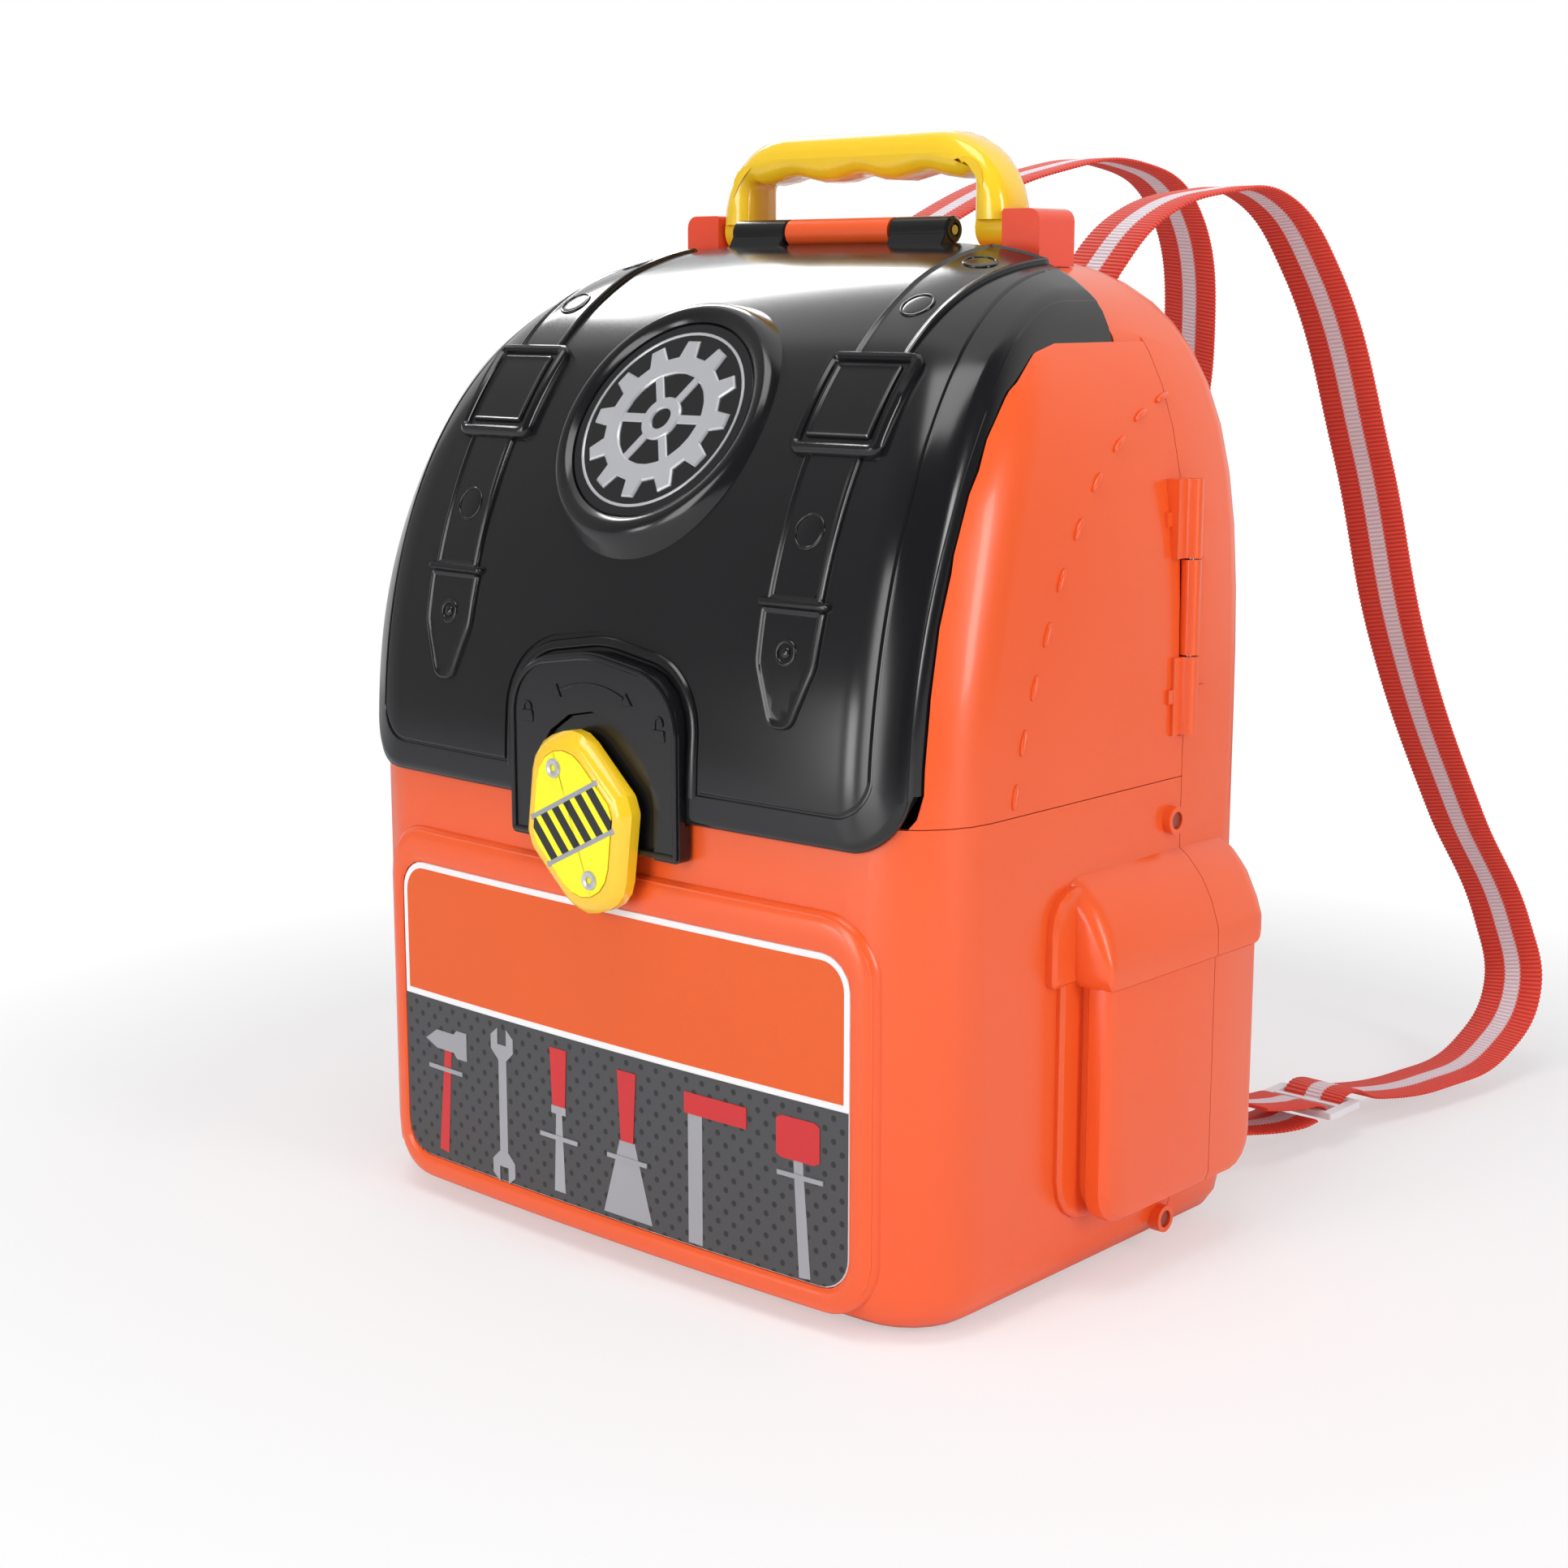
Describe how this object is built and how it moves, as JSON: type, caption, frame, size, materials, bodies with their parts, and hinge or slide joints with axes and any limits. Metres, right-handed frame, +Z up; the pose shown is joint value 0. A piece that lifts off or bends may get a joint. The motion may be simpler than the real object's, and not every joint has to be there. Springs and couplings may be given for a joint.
{
  "type": "toy tool backpack",
  "caption": "Hard-shell toy backpack case with a domed lid on a top hinge, swinging side doors, a turning latch knob, a folding carry handle and webbing shoulder straps.",
  "frame": {"origin": "middle of the flat base, midway between the sides, on the standing surface", "axes": "+Z up, -Y the front with the label and knob, +X the side at the right hand when seen from the front"},
  "size_m": [0.2886, 0.4114, 0.3625],
  "materials": {
    "black_gloss": "gloss",
    "orange_shell": "gloss",
    "plated_steel": "bright plated",
    "printed_label": "gloss print",
    "red_orange_fitting": "gloss",
    "strap_webbing": "ribbed weave",
    "white_slider": "gloss",
    "yellow_handle": "gloss"
  },
  "bodies": {
    "case": {"front_label": "printed_label", "front_tub": "orange_shell", "handle_bracket_left": "red_orange_fitting", "handle_bracket_right": "red_orange_fitting", "handle_pin_left": "plated_steel", "handle_pin_right": "plated_steel", "latch_plate": "black_gloss", "lid_hinge_pin": "plated_steel", "rear_shell": "orange_shell", "side_hinge_pin_left": "plated_steel", "side_hinge_pin_right": "plated_steel", "side_screw_lower_left": "plated_steel", "side_screw_lower_right": "plated_steel", "side_screw_upper_left": "plated_steel", "side_screw_upper_right": "plated_steel", "slider_left": "white_slider", "slider_right": "white_slider", "strap_clip_lower_left": "black_gloss", "strap_clip_lower_right": "black_gloss", "strap_clip_upper_left": "black_gloss", "strap_clip_upper_right": "black_gloss", "strap_left": "strap_webbing", "strap_lower_left": "strap_webbing", "strap_lower_right": "strap_webbing", "strap_right": "strap_webbing"},
    "lid": {"lid": "black_gloss", "latch_arch": "black_gloss", "badge_plate": "black_gloss"},
    "door_left": {"door_left": "orange_shell"},
    "door_right": {"door_right": "orange_shell"},
    "knob": {"knob": "yellow_handle", "knob_sticker": "yellow_handle", "knob_washer": "plated_steel", "knob_spindle": "plated_steel"},
    "handle": {"handle": "yellow_handle"}
  },
  "joints": [
    {"name": "lid_hinge", "type": "hinge", "parent": "case", "child": "lid", "pos_m": [0, 0.0315, 0.33], "axis": [-1, 0, 0], "range_deg": [0, 100]},
    {"name": "door_left_hinge", "type": "hinge", "parent": "case", "child": "door_left", "pos_m": [-0.1297, 0.0495, 0.2125], "axis": [0, 0, -1], "range_deg": [0, 95]},
    {"name": "door_right_hinge", "type": "hinge", "parent": "case", "child": "door_right", "pos_m": [0.1297, 0.0495, 0.2125], "axis": [0, 0, 1], "range_deg": [0, 95]},
    {"name": "knob_turn", "type": "hinge", "parent": "case", "child": "knob", "pos_m": [0, -0.0885, 0.147], "axis": [0, -1, 0], "range_deg": [-20, 70]},
    {"name": "handle_hinge", "type": "hinge", "parent": "case", "child": "handle", "pos_m": [0, 0.046, 0.331], "axis": [-1, 0, 0], "range_deg": [0, 60]}
  ]
}
